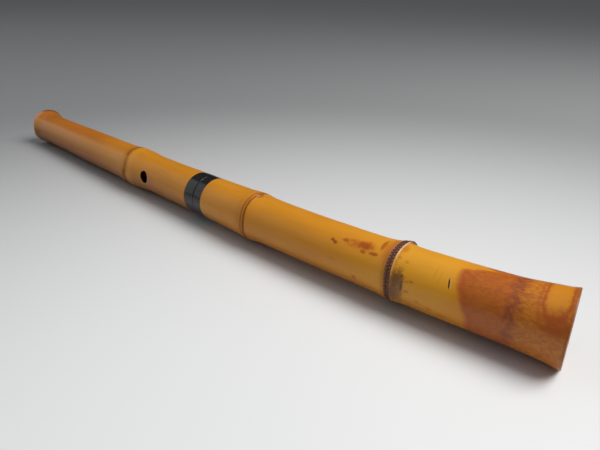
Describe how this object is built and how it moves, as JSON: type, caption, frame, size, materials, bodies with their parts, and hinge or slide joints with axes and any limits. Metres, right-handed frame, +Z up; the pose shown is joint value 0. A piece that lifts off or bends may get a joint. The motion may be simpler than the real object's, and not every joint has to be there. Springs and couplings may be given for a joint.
{
  "type": "shakuhachi",
  "caption": "End-blown flute of root-end bamboo that pulls apart at a middle joint, with finger holes, a thumb hole and a horn blowing edge.",
  "frame": {"origin": "under the middle of the flute, on the plane that it lies on", "axes": "+X along the flute from the mouth to the bell, -Y towards the thumb hole, +Z up"},
  "size_m": [0.5486, 0.0538, 0.0421],
  "materials": {
    "upper_bamboo": "golden bamboo skin, polished and thinly lacquered",
    "lower_bamboo": "golden bamboo skin with red-brown root stains, polished and thinly lacquered",
    "horn": "polished dark horn",
    "bore_lacquer": "red-brown lacquer over filler, glossy",
    "tenon_wood": "bare turned bamboo, satin",
    "sleeve_wood": "bare bamboo, satin",
    "band_lacquer": "black lacquered binding, glossy"
  },
  "bodies": {
    "lower_length": {"lower_tube": "lower_bamboo", "socket_sleeve": "sleeve_wood", "lower_bore_lining": "bore_lacquer", "lower_joint_band": "band_lacquer"},
    "upper_length": {"upper_tube": "upper_bamboo", "blowing_edge_inlay": "horn", "upper_bore_lining": "bore_lacquer", "tenon": "tenon_wood", "upper_joint_band": "band_lacquer"}
  },
  "joints": [
    {"name": "middle_joint", "type": "slide", "parent": "lower_length", "child": "upper_length", "axis": [-1, 0, -0.0094], "range_m": [0, 0.03]}
  ]
}
